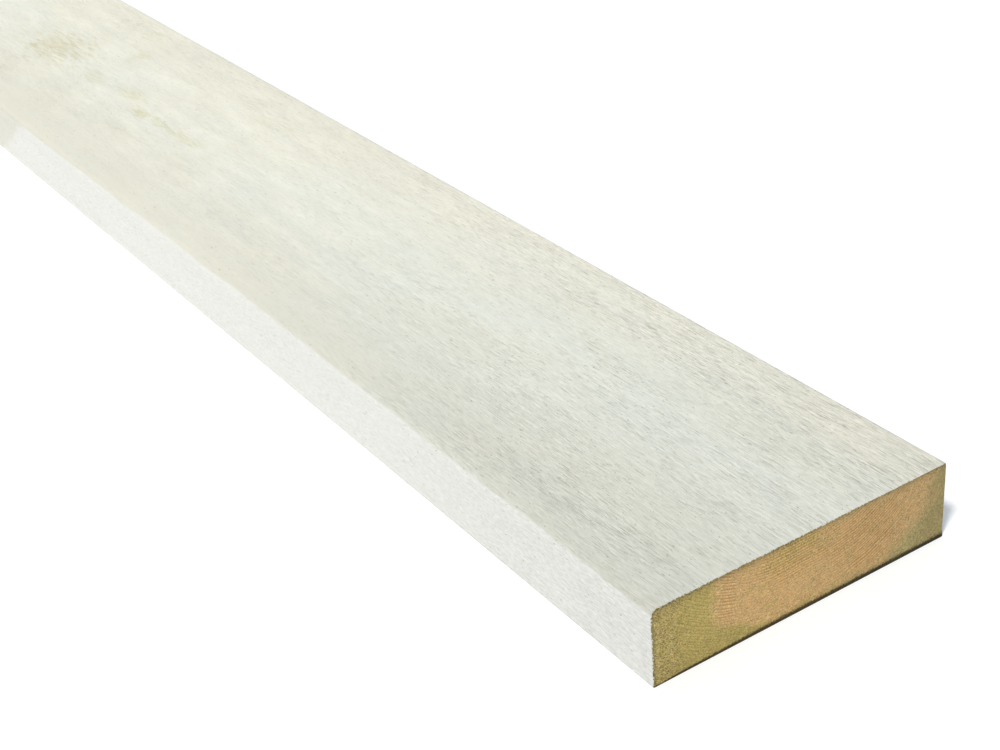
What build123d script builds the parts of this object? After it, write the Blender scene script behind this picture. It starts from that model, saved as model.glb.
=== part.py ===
from build123d import *
import os

# A sawn softwood plank that lies flat on one wide face. Sizes are in millimetres.
# The origin is the middle of the underside: X runs along the grain, Y across the width, Z up.
# The front is the -Y side.

# Stock size: the sawn section, and the length that it is cut to
PLANK_LENGTH = 1800.0
PLANK_WIDTH = 150.0
PLANK_THICKNESS = 36.0

# The arrises along the grain: the front upper one is rubbed round, the others are barely eased
ROUNDED_ARRIS_RADIUS = 3.5
EASED_ARRIS_RADIUS = 0.5


def sawn_section(cut: Plane) -> Sketch:
    """Section across the grain on the plane of a cut, standing on the floor, with its corners eased."""
    with BuildSketch(cut) as section:
        Rectangle(PLANK_WIDTH, PLANK_THICKNESS, align=(Align.CENTER, Align.MIN))
        back_corners = section.vertices().group_by(Axis.X)[-1]
        front_lower = section.vertices().group_by(Axis.X)[0].sort_by(Axis.Y)[0]
        fillet([front_lower, *back_corners], EASED_ARRIS_RADIUS)
        front_upper = section.vertices().group_by(Axis.X)[0].sort_by(Axis.Y)[-1]
        fillet(front_upper, ROUNDED_ARRIS_RADIUS)
    return section.sketch


def plank() -> Part:
    """The plank: its section run along the grain from one square cut to the other."""
    left_cut = Plane.YZ.offset(-PLANK_LENGTH / 2)
    return extrude(sawn_section(left_cut), amount=PLANK_LENGTH)


os.makedirs("parts", exist_ok=True)
export_step(plank(), "parts/plank.step")
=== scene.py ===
"""A whitewashed sawn softwood plank, lying flat on a white studio floor.

The plank is one piece of timber. Its long faces carry a thin white wash, put on before the plank was cut
to length, and both cut ends show bare wood with growth rings. The frame is in metres: X along the grain,
Y across the width, Z up, with the origin in the middle of the underside. The sizes of the finishes are in
millimetres.
"""

import logging
import math
from dataclasses import dataclass
from enum import Enum

import bpy
import numpy as np
from mathutils import Matrix, Vector


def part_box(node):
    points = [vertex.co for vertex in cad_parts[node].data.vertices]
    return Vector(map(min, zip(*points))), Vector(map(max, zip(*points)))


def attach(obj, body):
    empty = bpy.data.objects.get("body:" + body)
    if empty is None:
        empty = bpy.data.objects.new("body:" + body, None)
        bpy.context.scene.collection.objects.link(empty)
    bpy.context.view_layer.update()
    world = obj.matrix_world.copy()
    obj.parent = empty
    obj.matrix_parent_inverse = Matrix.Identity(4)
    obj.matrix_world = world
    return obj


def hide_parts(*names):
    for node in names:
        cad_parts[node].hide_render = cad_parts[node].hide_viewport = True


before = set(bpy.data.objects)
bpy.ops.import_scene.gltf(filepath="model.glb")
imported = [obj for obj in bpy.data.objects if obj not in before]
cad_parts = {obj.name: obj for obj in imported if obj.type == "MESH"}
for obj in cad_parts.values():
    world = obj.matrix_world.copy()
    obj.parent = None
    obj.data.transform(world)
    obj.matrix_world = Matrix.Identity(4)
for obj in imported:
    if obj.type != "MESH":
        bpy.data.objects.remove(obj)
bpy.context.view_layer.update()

MM = 0.001
BAKE_MAP = "OFBake"

# The mean of a noise, and the degrees that the outline of the section turns through at an arris
NOISE_MEAN = 0.5
ARRIS_TURN = 90.0

log = logging.getLogger("plank")

Socket = bpy.types.NodeSocket
Value = float | Socket
Triple = tuple[float, float, float]
Colour = Triple

WHITE: Colour = (1.0, 1.0, 1.0)


class Cut(Enum):
    """The two square cuts, each with the sense of its outward normal along the grain."""

    LEFT = -1
    RIGHT = 1


class Side(Enum):
    """The long faces, in the order that the outline of the section runs through them."""

    UNDER = 0
    BACK = 1
    UPPER = 2
    FRONT = 3


class SocketKind(Enum):
    """The kinds of socket that the node groups have, each with its type name."""

    NUMBER = "NodeSocketFloat"
    COUNT = "NodeSocketInt"
    VECTOR = "NodeSocketVector"
    GEOMETRY = "NodeSocketGeometry"
    MATERIAL = "NodeSocketMaterial"


class NodeSheet:
    """A node tree that is written step by step."""

    # The numbers of a Mix node's colour sockets
    MIX_FIRST = 6
    MIX_SECOND = 7
    MIX_RESULT = 2

    def __init__(self, tree: bpy.types.NodeTree) -> None:
        """Take the tree that the steps go into.

        Args:
            tree: The shader or geometry node tree.
        """
        self.tree = tree

    def add(self, kind: str, inputs: dict[str | int, object] | None = None,
            **settings: object) -> bpy.types.Node:
        """Add one node.

        Args:
            kind: The node's type name.
            inputs: Values or sockets by the name or number of the input they feed.
            settings: Properties of the node itself.

        Returns:
            The new node.
        """
        node = self.tree.nodes.new(kind)
        for name, value in settings.items():
            setattr(node, name, value)
        for key, value in (inputs or {}).items():
            self.feed(node.inputs[key], value)
        return node

    def feed(self, target: Socket, value: object) -> None:
        """Link a socket to an input, or set the input's own value.

        Args:
            target: The input.
            value: A socket to link from, or a plain value.
        """
        if isinstance(value, Socket):
            self.tree.links.new(value, target)
        else:
            target.default_value = value

    def math(self, operation: str, *values: Value) -> Socket:
        """Work out one number.

        Args:
            operation: The Math node's operation.
            values: Its inputs in order.

        Returns:
            The result.
        """
        return self.add("ShaderNodeMath", dict(enumerate(values)), operation=operation).outputs[0]

    def chain(self, operation: str, *values: Value) -> Socket:
        """Put several numbers together, one after the other, by the same operation.

        Args:
            operation: The Math node's operation.
            values: The numbers, the first of them a socket.

        Returns:
            The result.
        """
        result = values[0]
        for value in values[1:]:
            result = self.math(operation, result, value)
        return result

    def total(self, *values: Value) -> Socket:
        """Add several numbers."""
        return self.chain("ADD", *values)

    def product(self, *values: Value) -> Socket:
        """Multiply several numbers."""
        return self.chain("MULTIPLY", *values)

    def vector(self, operation: str, *values: object) -> Socket:
        """Work out one vector.

        Args:
            operation: The Vector Math node's operation.
            values: Its vector inputs in order.

        Returns:
            The resulting vector.
        """
        return self.add("ShaderNodeVectorMath", dict(enumerate(values)), operation=operation).outputs[0]

    def scaled(self, vector: object, factor: Value) -> Socket:
        """Multiply a vector or colour by a number.

        Args:
            vector: The vector or colour.
            factor: The number.

        Returns:
            The scaled vector.
        """
        node = self.add("ShaderNodeVectorMath", {0: vector, "Scale": factor}, operation="SCALE")
        return node.outputs[0]

    def join(self, along: Value = 0.0, across: Value = 0.0, up: Value = 0.0) -> Socket:
        """Join three numbers to a vector.

        Args:
            along: The number along X.
            across: The number along Y.
            up: The number along Z.

        Returns:
            The vector.
        """
        return self.add("ShaderNodeCombineXYZ", {0: along, 1: across, 2: up}).outputs[0]

    def split(self, vector: Socket) -> list[Socket]:
        """Split a vector into its numbers along X, Y and Z."""
        return list(self.add("ShaderNodeSeparateXYZ", {0: vector}).outputs)

    def ramp(self, value: Value, start: Value, stop: Value, low: Value = 0.0, high: Value = 1.0) -> Socket:
        """Pass smoothly from one number to another as a value goes from start to stop.

        Args:
            value: The value that is followed.
            start: Where the passage begins.
            stop: Where it ends.
            low: The result at and before start.
            high: The result at and after stop.

        Returns:
            The result.
        """
        node = self.add("ShaderNodeMapRange", {0: value, 1: start, 2: stop, 3: low, 4: high})
        node.interpolation_type = "SMOOTHSTEP"
        return node.outputs[0]

    def between(self, share: Socket, low: Value, high: Value) -> Socket:
        """Pass smoothly from one number to another as a share goes from 0 to 1."""
        return self.ramp(share, 0.0, 1.0, low, high)

    def mix(self, factor: Value, first: object, second: object) -> Socket:
        """Mix two colours.

        Args:
            factor: The share of the second colour.
            first: The first colour.
            second: The second colour.

        Returns:
            The mixed colour.
        """
        inputs = {0: factor, self.MIX_FIRST: as_rgba(first), self.MIX_SECOND: as_rgba(second)}
        return self.add("ShaderNodeMix", inputs, data_type="RGBA").outputs[self.MIX_RESULT]

    def noise(self, vector: object, detail: float, rough: float = 0.5) -> Socket:
        """Read a noise texture of one swing to each unit.

        Args:
            vector: Where it is read.
            detail: How many finer layers it has.
            rough: How strong the finer layers are.

        Returns:
            The noise, from 0 to 1 about a mean of a half.
        """
        inputs = {"Vector": vector, "Scale": 1.0, "Detail": detail, "Roughness": rough}
        return self.add("ShaderNodeTexNoise", inputs).outputs[0]

    def group(self, tree: bpy.types.NodeTree, inputs: dict[str, object]) -> bpy.types.Node:
        """Place a shared node group of the finishes.

        Args:
            tree: The group's tree.
            inputs: Values or sockets by input name.

        Returns:
            The group node.
        """
        return self.add("ShaderNodeGroup", inputs, node_tree=tree)


def as_rgba(colour: object) -> object:
    """Give a written colour its alpha, and pass a socket on.

    Args:
        colour: A colour of three numbers, or a socket.

    Returns:
        The colour with four numbers, or the same socket.
    """
    return (*colour, 1.0) if isinstance(colour, tuple) else colour


def open_group(name: str, tree_type: str, inputs: dict[str, SocketKind],
               outputs: dict[str, SocketKind]) -> tuple[NodeSheet, dict[str, Socket], dict[str, Socket]]:
    """Start a node group with named sockets.

    Args:
        name: The group's name.
        tree_type: The tree's type name.
        inputs: Kinds of socket by input name.
        outputs: Kinds of socket by output name.

    Returns:
        The sheet to write on, the group's input sockets by name, and the sockets to feed by output name.
    """
    tree = bpy.data.node_groups.new(name, tree_type)
    for label, kind in inputs.items():
        tree.interface.new_socket(name=label, in_out="INPUT", socket_type=kind.value)
    for label, kind in outputs.items():
        tree.interface.new_socket(name=label, in_out="OUTPUT", socket_type=kind.value)
    sheet = NodeSheet(tree)
    given = sheet.add("NodeGroupInput").outputs
    wanted = sheet.add("NodeGroupOutput").inputs
    return sheet, {label: given[label] for label in inputs}, {label: wanted[label] for label in outputs}


@dataclass(frozen=True)
class Fade:
    """A smooth passage from one number to another while some measure goes from start to stop."""

    start: float
    stop: float
    low: float = 0.0
    high: float = 1.0

    def draw(self, sheet: NodeSheet, measure: Socket, unit: float = 1.0, low: Value | None = None,
             high: Value | None = None) -> Socket:
        """Draw the passage.

        Args:
            sheet: The node sheet.
            measure: The measure that it follows.
            unit: What start and stop are counted in.
            low: What takes the place of the fade's own low number, if anything.
            high: What takes the place of its high number, if anything.

        Returns:
            The number at the measure.
        """
        first = self.low if low is None else low
        last = self.high if high is None else high
        return sheet.ramp(measure, self.start * unit, self.stop * unit, first, last)


@dataclass(frozen=True)
class Cloud:
    """A soft noise. Its stretch tells how many swings it makes in one unit along each axis."""

    stretch: Triple
    detail: float = 4.0
    rough: float = 0.6

    @classmethod
    def even(cls, swings: float, detail: float, rough: float = 0.5) -> "Cloud":
        """Describe a noise that swings alike along every axis."""
        return cls((swings, swings, swings), detail, rough)

    def draw(self, sheet: NodeSheet, place: Socket) -> Socket:
        """Draw the noise.

        Args:
            sheet: The node sheet.
            place: Where it is read.

        Returns:
            The noise, from 0 to 1 about a mean of a half.
        """
        return sheet.noise(sheet.vector("MULTIPLY", place, self.stretch), self.detail, self.rough)


@dataclass
class TimberPatterns:
    """The node groups that both finishes share: streaks along the grain, and growth rings."""

    streak_detail: float = 3.0
    streak_rough: float = 0.55
    ring_drift: Cloud = Cloud((0.004, 0.05, 0.05), detail=2.0, rough=0.5)
    weather_pace: float = 0.23
    weather_swing: float = 1.2
    latewood_start: Fade = Fade(0.25, 0.8)
    latewood_stop: Fade = Fade(0.9, 1.0, 1.0, 0.0)

    def __post_init__(self) -> None:
        """Build the two groups once."""
        self.streaks = self.build_streaks()
        self.rings = self.build_rings()

    def build_streaks(self) -> bpy.types.NodeTree:
        """Build the group of streaks drawn out along the grain.

        Returns:
            The group, whose Streak output runs from 0 to 1 about a mean of a half.
        """
        inputs = {"Position": SocketKind.VECTOR, "Length": SocketKind.NUMBER,
                  "Breadth": SocketKind.NUMBER, "Shift": SocketKind.NUMBER}
        outputs = {"Streak": SocketKind.NUMBER}
        sheet, given, wanted = open_group("grain_streaks", "ShaderNodeTree", inputs, outputs)
        along = sheet.math("DIVIDE", 1.0, given["Length"])
        across = sheet.math("DIVIDE", 1.0, given["Breadth"])
        stretch = sheet.join(along, across, across)
        shift = sheet.join(given["Shift"], given["Shift"], given["Shift"])
        place = sheet.vector("ADD", sheet.vector("MULTIPLY", given["Position"], stretch), shift)
        sheet.feed(wanted["Streak"], sheet.noise(place, self.streak_detail, self.streak_rough))
        return sheet.tree

    def build_rings(self) -> bpy.types.NodeTree:
        """Build the group of growth rings round a pith that drifts along the plank.

        Returns:
            The group, with the dark latewood of each ring and the distance from the pith.
        """
        sizes = ("Pith Across", "Pith Height", "Ring Pitch", "Cut", "Taper", "Wobble", "Flat")
        inputs = {"Position": SocketKind.VECTOR, **{size: SocketKind.NUMBER for size in sizes}}
        outputs = {"Latewood": SocketKind.NUMBER, "Radius": SocketKind.NUMBER}
        sheet, given, wanted = open_group("growth_rings", "ShaderNodeTree", inputs, outputs)
        along, across, height = sheet.split(given["Position"])
        rise = sheet.math("MULTIPLY", sheet.math("SUBTRACT", along, given["Cut"]), given["Taper"])
        aside = sheet.math("ABSOLUTE", sheet.math("SUBTRACT", across, given["Pith Across"]))
        aside = sheet.math("MAXIMUM", sheet.math("SUBTRACT", aside, given["Flat"]), 0.0)
        up = sheet.math("ADD", sheet.math("SUBTRACT", height, given["Pith Height"]), rise)
        squares = sheet.math("ADD", sheet.math("MULTIPLY", aside, aside), sheet.math("MULTIPLY", up, up))
        waver = sheet.math("SUBTRACT", self.ring_drift.draw(sheet, given["Position"]), NOISE_MEAN)
        radius = sheet.math("MULTIPLY_ADD", waver, given["Wobble"], sheet.math("SQRT", squares))
        years = sheet.math("DIVIDE", radius, given["Ring Pitch"])
        seasons = {"W": sheet.math("MULTIPLY", years, self.weather_pace), "Scale": 1.0}
        weather = sheet.add("ShaderNodeTexNoise", seasons, noise_dimensions="1D").outputs[0]
        phase = sheet.math("FRACT", sheet.math("MULTIPLY_ADD", weather, self.weather_swing, years))
        late = sheet.product(self.latewood_start.draw(sheet, phase), self.latewood_stop.draw(sheet, phase))
        sheet.feed(wanted["Latewood"], late)
        sheet.feed(wanted["Radius"], radius)
        return sheet.tree


@dataclass(frozen=True)
class Pith:
    """The heart of the log, in millimetres from the middle of the underside, at the right cut.

    Attributes:
        across: Where it lies across the width.
        height: Where it lies above the underside.
        flat: How far the rings run straight to either side of it.
        taper: How far it sinks for each millimetre along the grain towards the right cut.
        ring_pitch: How far one ring lies from the next.
        wobble: How far the rings waver.
    """

    across: float = -4.0
    height: float = 86.0
    flat: float = 11.0
    taper: float = 0.006
    ring_pitch: float = 1.3
    wobble: float = 2.0


@dataclass(frozen=True)
class Patch:
    """A soft oval patch on a face. Its centre and half sizes are in millimetres along two axes.

    The bound is where it has faded by half, as a share of the half sizes.
    """

    centre: tuple[float, float]
    half: tuple[float, float]
    strength: float = 1.0
    softness: float = 0.5
    bound: float = 0.7

    def draw(self, sheet: NodeSheet, places: tuple[Socket, Socket], waver: Socket) -> Socket:
        """Draw the patch, strongest in its middle.

        Args:
            sheet: The finish's node sheet.
            places: The place along the patch's two axes, in millimetres.
            waver: How far the outline strays, as a share of the patch's size.

        Returns:
            How strong the patch is at the place.
        """
        squares = []
        for place, middle, half in zip(places, self.centre, self.half):
            span = sheet.math("DIVIDE", sheet.math("SUBTRACT", place, middle), half)
            squares.append(sheet.math("MULTIPLY", span, span))
        gap = sheet.math("ADD", sheet.math("SQRT", sheet.total(*squares)), waver)
        return sheet.ramp(gap, self.bound - self.softness, self.bound + self.softness, self.strength, 0.0)


@dataclass(frozen=True)
class Streaks:
    """One layer of streaks along the grain, in millimetres.

    Attributes:
        length: How long a streak is.
        breadth: How broad it is.
        shift: Where the layer is read, which tells it from the other layers.
        strength: How much the layer marks the tone.
    """

    length: float
    breadth: float
    shift: float
    strength: float = 1.0

    def draw(self, sheet: NodeSheet, patterns: TimberPatterns, place: Socket) -> Socket:
        """Draw the layer.

        Args:
            sheet: The finish's node sheet.
            patterns: The shared groups.
            place: The place in millimetres.

        Returns:
            The streaks, from 0 to 1 about a mean of a half.
        """
        inputs = {"Position": place, "Length": self.length, "Breadth": self.breadth, "Shift": self.shift}
        return sheet.group(patterns.streaks, inputs).outputs[0]


@dataclass(frozen=True)
class Spot:
    """The spot on the plank that a finish is worked out for, with its measures in millimetres.

    Attributes:
        place: The spot in the plank's frame.
        along: Its place along the grain.
        across: Its place across the width.
        height: Its height above the underside.
        from_cut: How far it lies from the nearer cut.
        from_front: How far it lies from the front edge.
        below: How far it lies below the upper face.
    """

    place: Socket
    along: Socket
    across: Socket
    height: Socket
    from_cut: Socket
    from_front: Socket
    below: Socket


@dataclass(frozen=True)
class Finish:
    """What both finishes of the wood have in common. The sizes are in millimetres.

    So are the marks of a fade that follows a distance or a place, unless it is drawn with the half width or
    the thickness as its unit. Then they are shares: of the half width from -1 at the front to 1 at the back,
    and of the thickness from 0 at the underside to 1 at the upper face.
    """

    name: str
    half_length: float
    half_width: float
    thickness: float
    gloss: float = 0.25
    bump_strength: float = 0.6
    bump_depth: float = 0.5

    def open(self) -> tuple[bpy.types.Material, NodeSheet, bpy.types.Node, Spot]:
        """Start the material.

        Returns:
            The material, its sheet, its shader, and the spot on the plank.
        """
        material = bpy.data.materials.new(self.name)
        material.use_nodes = True
        sheet = NodeSheet(material.node_tree)
        shader = material.node_tree.nodes["Principled BSDF"]
        place = sheet.scaled(sheet.add("ShaderNodeTexCoord").outputs["Object"], 1.0 / MM)
        along, across, height = sheet.split(place)
        from_cut = sheet.math("SUBTRACT", self.half_length, sheet.math("ABSOLUTE", along))
        from_front = sheet.math("ADD", across, self.half_width)
        below = sheet.math("SUBTRACT", self.thickness, height)
        return material, sheet, shader, Spot(place, along, across, height, from_cut, from_front, below)

    def dress(self, sheet: NodeSheet, shader: bpy.types.Node, colour: Socket, roughness: Socket,
              relief: Socket) -> None:
        """Feed the shader with what the finish has worked out.

        Args:
            sheet: The node sheet.
            shader: The material's shader.
            colour: The colour of the surface.
            roughness: How matt it is.
            relief: The height of its fine relief, about 0 to 1.
        """
        sheet.feed(shader.inputs["Base Color"], colour)
        sheet.feed(shader.inputs["Roughness"], roughness)
        shader.inputs["Specular IOR Level"].default_value = self.gloss
        bump = sheet.add("ShaderNodeBump", {
            "Strength": self.bump_strength, "Distance": self.bump_depth * MM, "Height": relief})
        sheet.feed(shader.inputs["Normal"], bump.outputs[0])

    @staticmethod
    def swing(sheet: NodeSheet, pattern: Socket, strength: float, tone: Value = 0.0) -> Socket:
        """Let a pattern raise and lower a number about its mean.

        Args:
            sheet: The finish's node sheet.
            pattern: A pattern from 0 to 1 with a mean of a half.
            strength: How strongly it acts.
            tone: The number so far.

        Returns:
            The new number.
        """
        change = sheet.math("MULTIPLY_ADD", pattern, strength, -NOISE_MEAN * strength)
        return sheet.math("ADD", change, tone)


@dataclass(frozen=True)
class WashedFinish(Finish):
    """Thin white wash on sawn wood: pale and matt, with the grain and small dark flecks showing through."""

    # Colours
    cool_wash: Colour = (0.693, 0.712, 0.648)
    warm_wash: Colour = (0.715, 0.705, 0.61)
    edge_wash: Colour = (0.783, 0.788, 0.752)
    knot_tint: Colour = (0.845, 0.80, 0.66)
    resin_tint: Colour = (0.84, 0.83, 0.66)
    thin_wash: Colour = (0.41, 0.405, 0.31)
    torn_edge: Colour = (0.20, 0.15, 0.065)

    # Layers of grain, and the slow waves that it runs in
    bands: Streaks = Streaks(length=130.0, breadth=7.0, shift=11.0)
    strands: Streaks = Streaks(length=45.0, breadth=1.3, shift=19.0, strength=0.8)
    strokes: Streaks = Streaks(length=10.0, breadth=0.42, shift=31.0, strength=0.65)
    stipple: Streaks = Streaks(length=2.6, breadth=0.5, shift=131.0)
    fuzz: Streaks = Streaks(length=4.0, breadth=0.35, shift=57.0, strength=0.6)
    wide_bands: Fade = Fade(60.0, 576.0, 0.14, 0.11)
    edge_bands: float = 0.05
    wave: Cloud = Cloud((0.012, 0.03, 0.03), detail=1.0)
    wave_reach: float = 4.0

    # How rough the grain is
    rough_drift: Cloud = Cloud((0.014, 0.05, 0.05), detail=2.0)
    rough_patches: Fade = Fade(0.38, 0.6, 0.7, 1.05)
    rough_along: Fade = Fade(60.0, 480.0, 1.0, 0.5)
    rough_back: Fade = Fade(0.4, 0.8, 1.0, 1.45)
    rough_edge: Fade = Fade(0.0, 200.0, 0.9, 0.55)
    calm_arris: Fade = Fade(60.0, 312.0, 1.1, 0.35)
    calm_reach: Fade = Fade(-1.0, -0.45)

    # Where the wash is thin or missing
    dashes: Streaks = Streaks(length=10.0, breadth=0.42, shift=83.0)
    dash_bound: Fade = Fade(0.55, 0.72, 0.0, 0.5)
    edge_dashes: float = 0.3
    nicks: Streaks = Streaks(length=2.4, breadth=0.75, shift=107.0)
    nick_bound: Fade = Fade(0.665, 0.71)
    wide_nicks: float = 0.8
    edge_nicks: float = 0.75
    tear_drift: Cloud = Cloud((0.25, 0.5, 0.5), detail=3.0, rough=0.65)
    tear_reach: Fade = Fade(0.45, 0.7, -0.3, 0.45)
    tear_bound: Fade = Fade(-0.15, 0.15, 1.0, 0.0)

    # The bound of the narrow faces, and a slanted stretch of the front face that takes the wash of the wide
    # faces
    lower_lip: Fade = Fade(0.3, 1.0, 4.0, 0.0)
    under_pace: float = 3.0
    spill: Fade = Fade(336.0, 672.0, 0.0, 1.6)
    spill_drift: Cloud = Cloud((0.03, 0.1, 0.1))
    spill_swing: float = 1.6
    narrow_bound: Fade = Fade(1.4, 3.6)
    front_patch: Patch = Patch(centre=(90.0, 18.0), half=(143.0, 480.0), strength=0.6, softness=0.06)
    front_patch_fade: Fade = Fade(10.0, 140.0)
    front_patch_slant: float = 1.76
    front_patch_fringe: Cloud = Cloud((0.05, 0.1, 0.1))
    fringe_swing: float = 0.15
    front_half: Fade = Fade(-1.0, 1.0, high=0.0)

    # Drift of the wash from cool to warm, and its soft blotches
    warm_drift: Cloud = Cloud((0.012, 0.04, 0.04))
    warm_swing: float = 1.6
    warm_front: Fade = Fade(-1.0, 0.1, 0.55, 0.1)
    warm_back: Fade = Fade(0.1, 0.9, 0.0, 0.7)
    warm_along: Fade = Fade(192.0, 576.0, 0.0, 0.5)
    blotch_drift: Cloud = Cloud((0.022, 0.09, 0.09), detail=3.0)
    blotch_swing: float = 0.3
    blotch_along: Fade = Fade(150.0, 480.0, 0.2, 1.0)

    # Tone of the wash along and across the plank
    white_along: Fade = Fade(-480.0, 480.0, -1.0, 1.0)
    wide_tone: float = 1.042
    wide_gain: float = 0.147
    edge_tone: float = 0.975
    edge_gain: float = 0.1
    # Darker towards the front of the wide faces, more so beside the cuts
    front_tone_along: Fade = Fade(96.0, 480.0, 0.893, 0.92)
    front_tone_reach: Fade = Fade(-1.0, 0.1)
    # Painted shade on the rounded arris and below it, which offsets the arris highlight
    arris_painted_shade: Fade = Fade(0.15, 0.9, 1.0, 0.92)
    back_along: Fade = Fade(240.0, 432.0, 1.025, 0.98)
    back_reach: Fade = Fade(0.5, 0.9, low=1.0)
    foot_tone: Fade = Fade(0.0, 0.45, 0.97, 1.0)

    # Stains of the knot and the resin on the upper face
    knot: tuple[Patch, ...] = (
        Patch(centre=(126.0, -2.0), half=(44.0, 22.0), strength=0.6),
        Patch(centre=(106.0, -16.0), half=(8.0, 6.0), strength=1.0),
        Patch(centre=(118.0, 4.0), half=(70.0, 36.0), strength=0.25),
        Patch(centre=(155.0, 59.0), half=(18.0, 8.0), strength=0.3),
        Patch(centre=(135.0, -47.0), half=(10.0, 3.5), strength=0.3),
    )
    resin: tuple[Patch, ...] = (
        Patch(centre=(202.0, -7.0), half=(24.0, 9.0), strength=0.5),
        Patch(centre=(257.0, -2.0), half=(24.0, 7.0), strength=0.55),
        Patch(centre=(293.0, -11.0), half=(16.0, 6.5), strength=0.9),
        Patch(centre=(324.0, -10.0), half=(18.0, 5.5), strength=0.6),
        Patch(centre=(357.0, -9.0), half=(24.0, 6.0), strength=0.5),
        Patch(centre=(191.0, 32.0), half=(9.0, 14.0), strength=0.45),
        Patch(centre=(370.0, 41.0), half=(30.0, 8.0), strength=0.25),
    )
    stain_drift: Cloud = Cloud((0.06, 0.35, 0.0), detail=3.0)
    stain_swing: float = 3.0
    stain_shrink: float = 0.1
    stain_strands: Cloud = Cloud((0.12, 0.6, 0.0), detail=3.0)
    strand_bound: Fade = Fade(0.36, 0.62, 0.45, 1.35)
    stain_depth: Fade = Fade(0.7, 1.0)

    # Surface
    roughness: float = 0.82
    roughness_swing: float = 0.15
    fuzz_height: float = 0.6

    def make(self, patterns: TimberPatterns) -> bpy.types.Material:
        """Write the material.

        Args:
            patterns: The shared groups.

        Returns:
            The finished material.
        """
        material, sheet, shader, spot = self.open()
        grain = self.bend(sheet, spot)
        narrow = self.narrow_share(sheet, spot)
        busy = self.busy(sheet, spot, narrow)
        bands = self.bands.draw(sheet, patterns, grain)
        strands = self.strands.draw(sheet, patterns, grain)
        fuzz = self.fuzz.draw(sheet, patterns, grain)
        strokes = sheet.between(narrow, self.strokes.draw(sheet, patterns, grain),
                                self.stipple.draw(sheet, patterns, grain))

        rough = sheet.total(self.swing(sheet, strokes, self.strokes.strength),
                            self.swing(sheet, fuzz, self.fuzz.strength))
        broad = sheet.total(self.swing(sheet, bands, self.bands.strength),
                            self.swing(sheet, strands, self.strands.strength))
        calm = self.front_calm(sheet, spot)
        drawn = sheet.product(self.wide_bands.draw(sheet, spot.from_cut), calm)
        drawn = sheet.between(narrow, drawn, self.edge_bands)
        tone = sheet.math("MULTIPLY_ADD", broad, drawn, self.whitening(sheet, spot, narrow))
        tone = sheet.math("MULTIPLY_ADD", self.blotches(sheet, spot, narrow), calm, tone)
        tone = sheet.math("MULTIPLY_ADD", rough, busy, tone)
        colour = sheet.vector("MULTIPLY", self.wash(sheet, spot, narrow), self.stain_tint(sheet, spot))
        thin = self.flecks(sheet, patterns, grain, busy, narrow)
        colour = sheet.mix(thin, sheet.scaled(colour, tone), self.thin_wash)
        colour = sheet.mix(self.torn(sheet, spot), colour, self.torn_edge)

        roughness = self.swing(sheet, strokes, self.roughness_swing, self.roughness)
        relief = sheet.product(sheet.math("MULTIPLY_ADD", fuzz, self.fuzz_height, strokes), busy)
        self.dress(sheet, shader, colour, roughness, sheet.math("SUBTRACT", relief, thin))
        return material

    def bend(self, sheet: NodeSheet, spot: Spot) -> Socket:
        """Let the grain run in slow waves.

        Args:
            sheet: The node sheet.
            spot: The spot on the plank.

        Returns:
            The place that the streaks are read at.
        """
        aside = self.swing(sheet, self.wave.draw(sheet, spot.place), self.wave_reach)
        return sheet.vector("ADD", spot.place, sheet.join(across=aside, up=aside))

    def narrow_share(self, sheet: NodeSheet, spot: Spot) -> Socket:
        """Tell the narrow faces from the wide ones, with a wavering bound along the arrises.

        Args:
            sheet: The node sheet.
            spot: The spot on the plank.

        Returns:
            1 on a narrow face, 0 on a wide one, and less than 1 in a slanted stretch of the front face.
        """
        inside = sheet.math("SUBTRACT", self.half_width, sheet.math("ABSOLUTE", spot.across))
        lip = self.lower_lip.draw(sheet, inside)
        above = sheet.math("MULTIPLY_ADD", spot.height, self.under_pace, lip)
        depth = sheet.math("MINIMUM", spot.below, above)
        depth = sheet.math("SUBTRACT", depth, self.spill.draw(sheet, spot.from_cut))
        depth = self.swing(sheet, self.spill_drift.draw(sheet, spot.place), self.spill_swing, depth)
        fringe = self.swing(sheet, self.front_patch_fringe.draw(sheet, spot.place), self.fringe_swing)
        slanted = sheet.math("MULTIPLY_ADD", spot.height, -self.front_patch_slant, spot.along)
        # A slanted stretch of the front face takes some of the darker wash of the wide faces
        front_patch = self.front_patch.draw(sheet, (slanted, spot.height), fringe)
        front_patch = sheet.product(front_patch, self.front_patch_fade.draw(sheet, slanted))
        front = self.front_half.draw(sheet, spot.across, low=front_patch)
        return sheet.product(self.narrow_bound.draw(sheet, depth), sheet.math("SUBTRACT", 1.0, front))

    def blotches(self, sheet: NodeSheet, spot: Spot, narrow: Socket) -> Socket:
        """Cloud the wash of the wide faces softly, more so away from the cuts.

        Args:
            sheet: The node sheet.
            spot: The spot on the plank.
            narrow: 1 on a narrow face, 0 on a wide one.

        Returns:
            What the blotches add to the tone, about 0.
        """
        soft = self.swing(sheet, self.blotch_drift.draw(sheet, spot.place), self.blotch_swing)
        wide = self.blotch_along.draw(sheet, spot.from_cut)
        return sheet.product(soft, sheet.between(narrow, wide, 0.0))

    def front_calm(self, sheet: NodeSheet, spot: Spot) -> Socket:
        """Calm the grain along the front arris, more so away from the cuts.

        Args:
            sheet: The node sheet.
            spot: The spot on the plank.

        Returns:
            A factor for the grain, 1 away from the arris.
        """
        arris = self.calm_arris.draw(sheet, spot.from_cut)
        return self.calm_reach.draw(sheet, spot.across, self.half_width, low=arris)

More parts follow.
